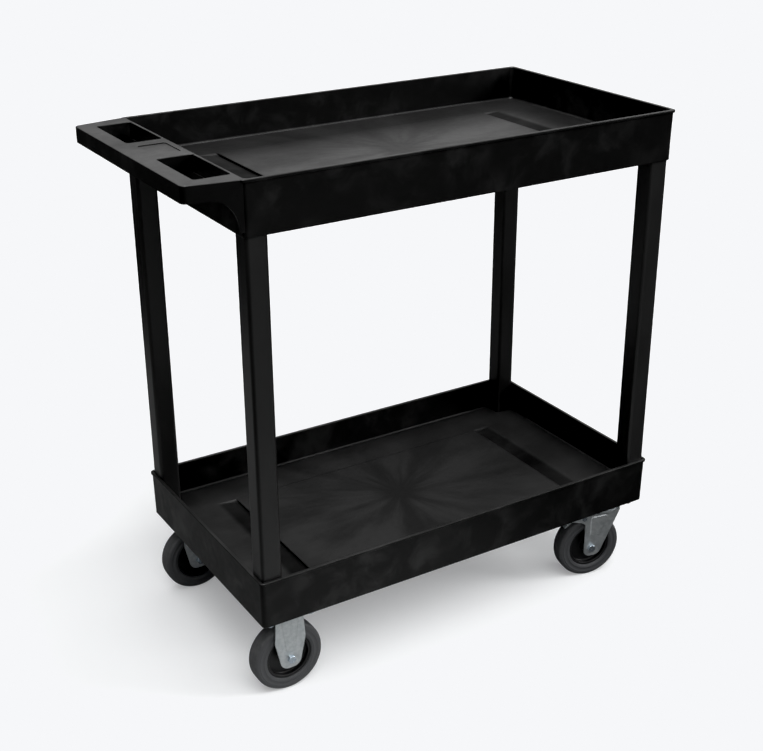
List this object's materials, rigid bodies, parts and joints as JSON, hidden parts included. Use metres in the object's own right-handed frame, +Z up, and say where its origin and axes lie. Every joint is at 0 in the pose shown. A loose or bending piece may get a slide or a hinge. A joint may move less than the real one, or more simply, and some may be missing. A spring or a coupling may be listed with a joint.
{
  "type": "rolling utility cart",
  "caption": "Black plastic tub cart: top and bottom trays on square posts, a moulded handle deck with hand openings, rigid casters at the handle end and braked swivel casters at the nose.",
  "frame": {"origin": "on the floor, under the middle of the cart's overall length and width", "axes": "+X away from the handle, +Y to the left of the person who pushes, +Z up"},
  "size_m": [0.8954, 0.4572, 0.902],
  "materials": {
    "tray_plastic": "structural-foam polyethylene, mottled satin",
    "post_plastic": "extruded polyethylene, satin",
    "tyre_rubber": "matte grey-black rubber",
    "hub_plastic": "moulded, satin black",
    "zinc_steel": "bright zinc plated",
    "bolt_steel": "bluish zinc plated",
    "bearing_steel": "polished",
    "bush_plastic": "natural acetal"
  },
  "bodies": {
    "frame": {"top_tray": "tray_plastic", "bottom_tray": "tray_plastic", "post_handle_right": "post_plastic", "post_handle_left": "post_plastic", "post_nose_right": "post_plastic", "post_nose_left": "post_plastic", "fixed_fork_right": "zinc_steel", "sleeve_handle_right": "bolt_steel", "axle_handle_right": "bolt_steel", "axle_nut_handle_right": "bolt_steel", "swivel_plate_right": "zinc_steel", "kingpin_right": "bolt_steel", "fixed_fork_left": "zinc_steel", "sleeve_handle_left": "bolt_steel", "axle_handle_left": "bolt_steel", "axle_nut_handle_left": "bolt_steel", "swivel_plate_left": "zinc_steel", "kingpin_left": "bolt_steel", "caster_screws": "bolt_steel", "caster_washers": "bolt_steel"},
    "wheel_handle_right": {"tyre_handle_right": "tyre_rubber", "hub_handle_right": "hub_plastic", "bushes_handle_right": "bush_plastic"},
    "swivel_right": {"yoke_right": "zinc_steel", "swivel_balls_right": "bearing_steel", "sleeve_nose_right": "bolt_steel", "axle_nose_right": "bolt_steel", "axle_nut_nose_right": "bolt_steel", "brake_pin_right": "bolt_steel"},
    "wheel_nose_right": {"tyre_nose_right": "tyre_rubber", "hub_nose_right": "hub_plastic", "bushes_nose_right": "bush_plastic"},
    "brake_right": {"brake_pedal_right": "zinc_steel"},
    "wheel_handle_left": {"tyre_handle_left": "tyre_rubber", "hub_handle_left": "hub_plastic", "bushes_handle_left": "bush_plastic"},
    "swivel_left": {"yoke_left": "zinc_steel", "swivel_balls_left": "bearing_steel", "sleeve_nose_left": "bolt_steel", "axle_nose_left": "bolt_steel", "axle_nut_nose_left": "bolt_steel", "brake_pin_left": "bolt_steel"},
    "wheel_nose_left": {"tyre_nose_left": "tyre_rubber", "hub_nose_left": "hub_plastic", "bushes_nose_left": "bush_plastic"},
    "brake_left": {"brake_pedal_left": "zinc_steel"}
  },
  "joints": [
    {"name": "wheel_handle_right_spin", "type": "hinge", "parent": "frame", "child": "wheel_handle_right", "pos_m": [-0.30512, -0.1846, 0.0635], "axis": [0, 1, 0], "continuous": true},
    {"name": "swivel_right_turn", "type": "hinge", "parent": "frame", "child": "swivel_right", "pos_m": [0.38767, -0.1846, 0.142], "axis": [0, 0, 1], "continuous": true},
    {"name": "wheel_nose_right_spin", "type": "hinge", "parent": "swivel_right", "child": "wheel_nose_right", "pos_m": [0.35332, -0.17792, 0.0635], "axis": [0.1908, 0.9816, 0], "continuous": true},
    {"name": "brake_right_press", "type": "hinge", "parent": "swivel_right", "child": "brake_right", "pos_m": [0.33467, -0.1743, 0.13201], "axis": [-0.1908, -0.9816, 0], "range_deg": [0, 8]},
    {"name": "wheel_handle_left_spin", "type": "hinge", "parent": "frame", "child": "wheel_handle_left", "pos_m": [-0.30512, 0.1846, 0.0635], "axis": [0, 1, 0], "continuous": true},
    {"name": "swivel_left_turn", "type": "hinge", "parent": "frame", "child": "swivel_left", "pos_m": [0.38767, 0.1846, 0.142], "axis": [0, 0, 1], "continuous": true},
    {"name": "wheel_nose_left_spin", "type": "hinge", "parent": "swivel_left", "child": "wheel_nose_left", "pos_m": [0.35268, 0.1846, 0.0635], "axis": [0, 1, 0], "continuous": true},
    {"name": "brake_left_press", "type": "hinge", "parent": "swivel_left", "child": "brake_left", "pos_m": [0.33367, 0.1846, 0.13201], "axis": [0, -1, 0], "range_deg": [0, 8]}
  ]
}
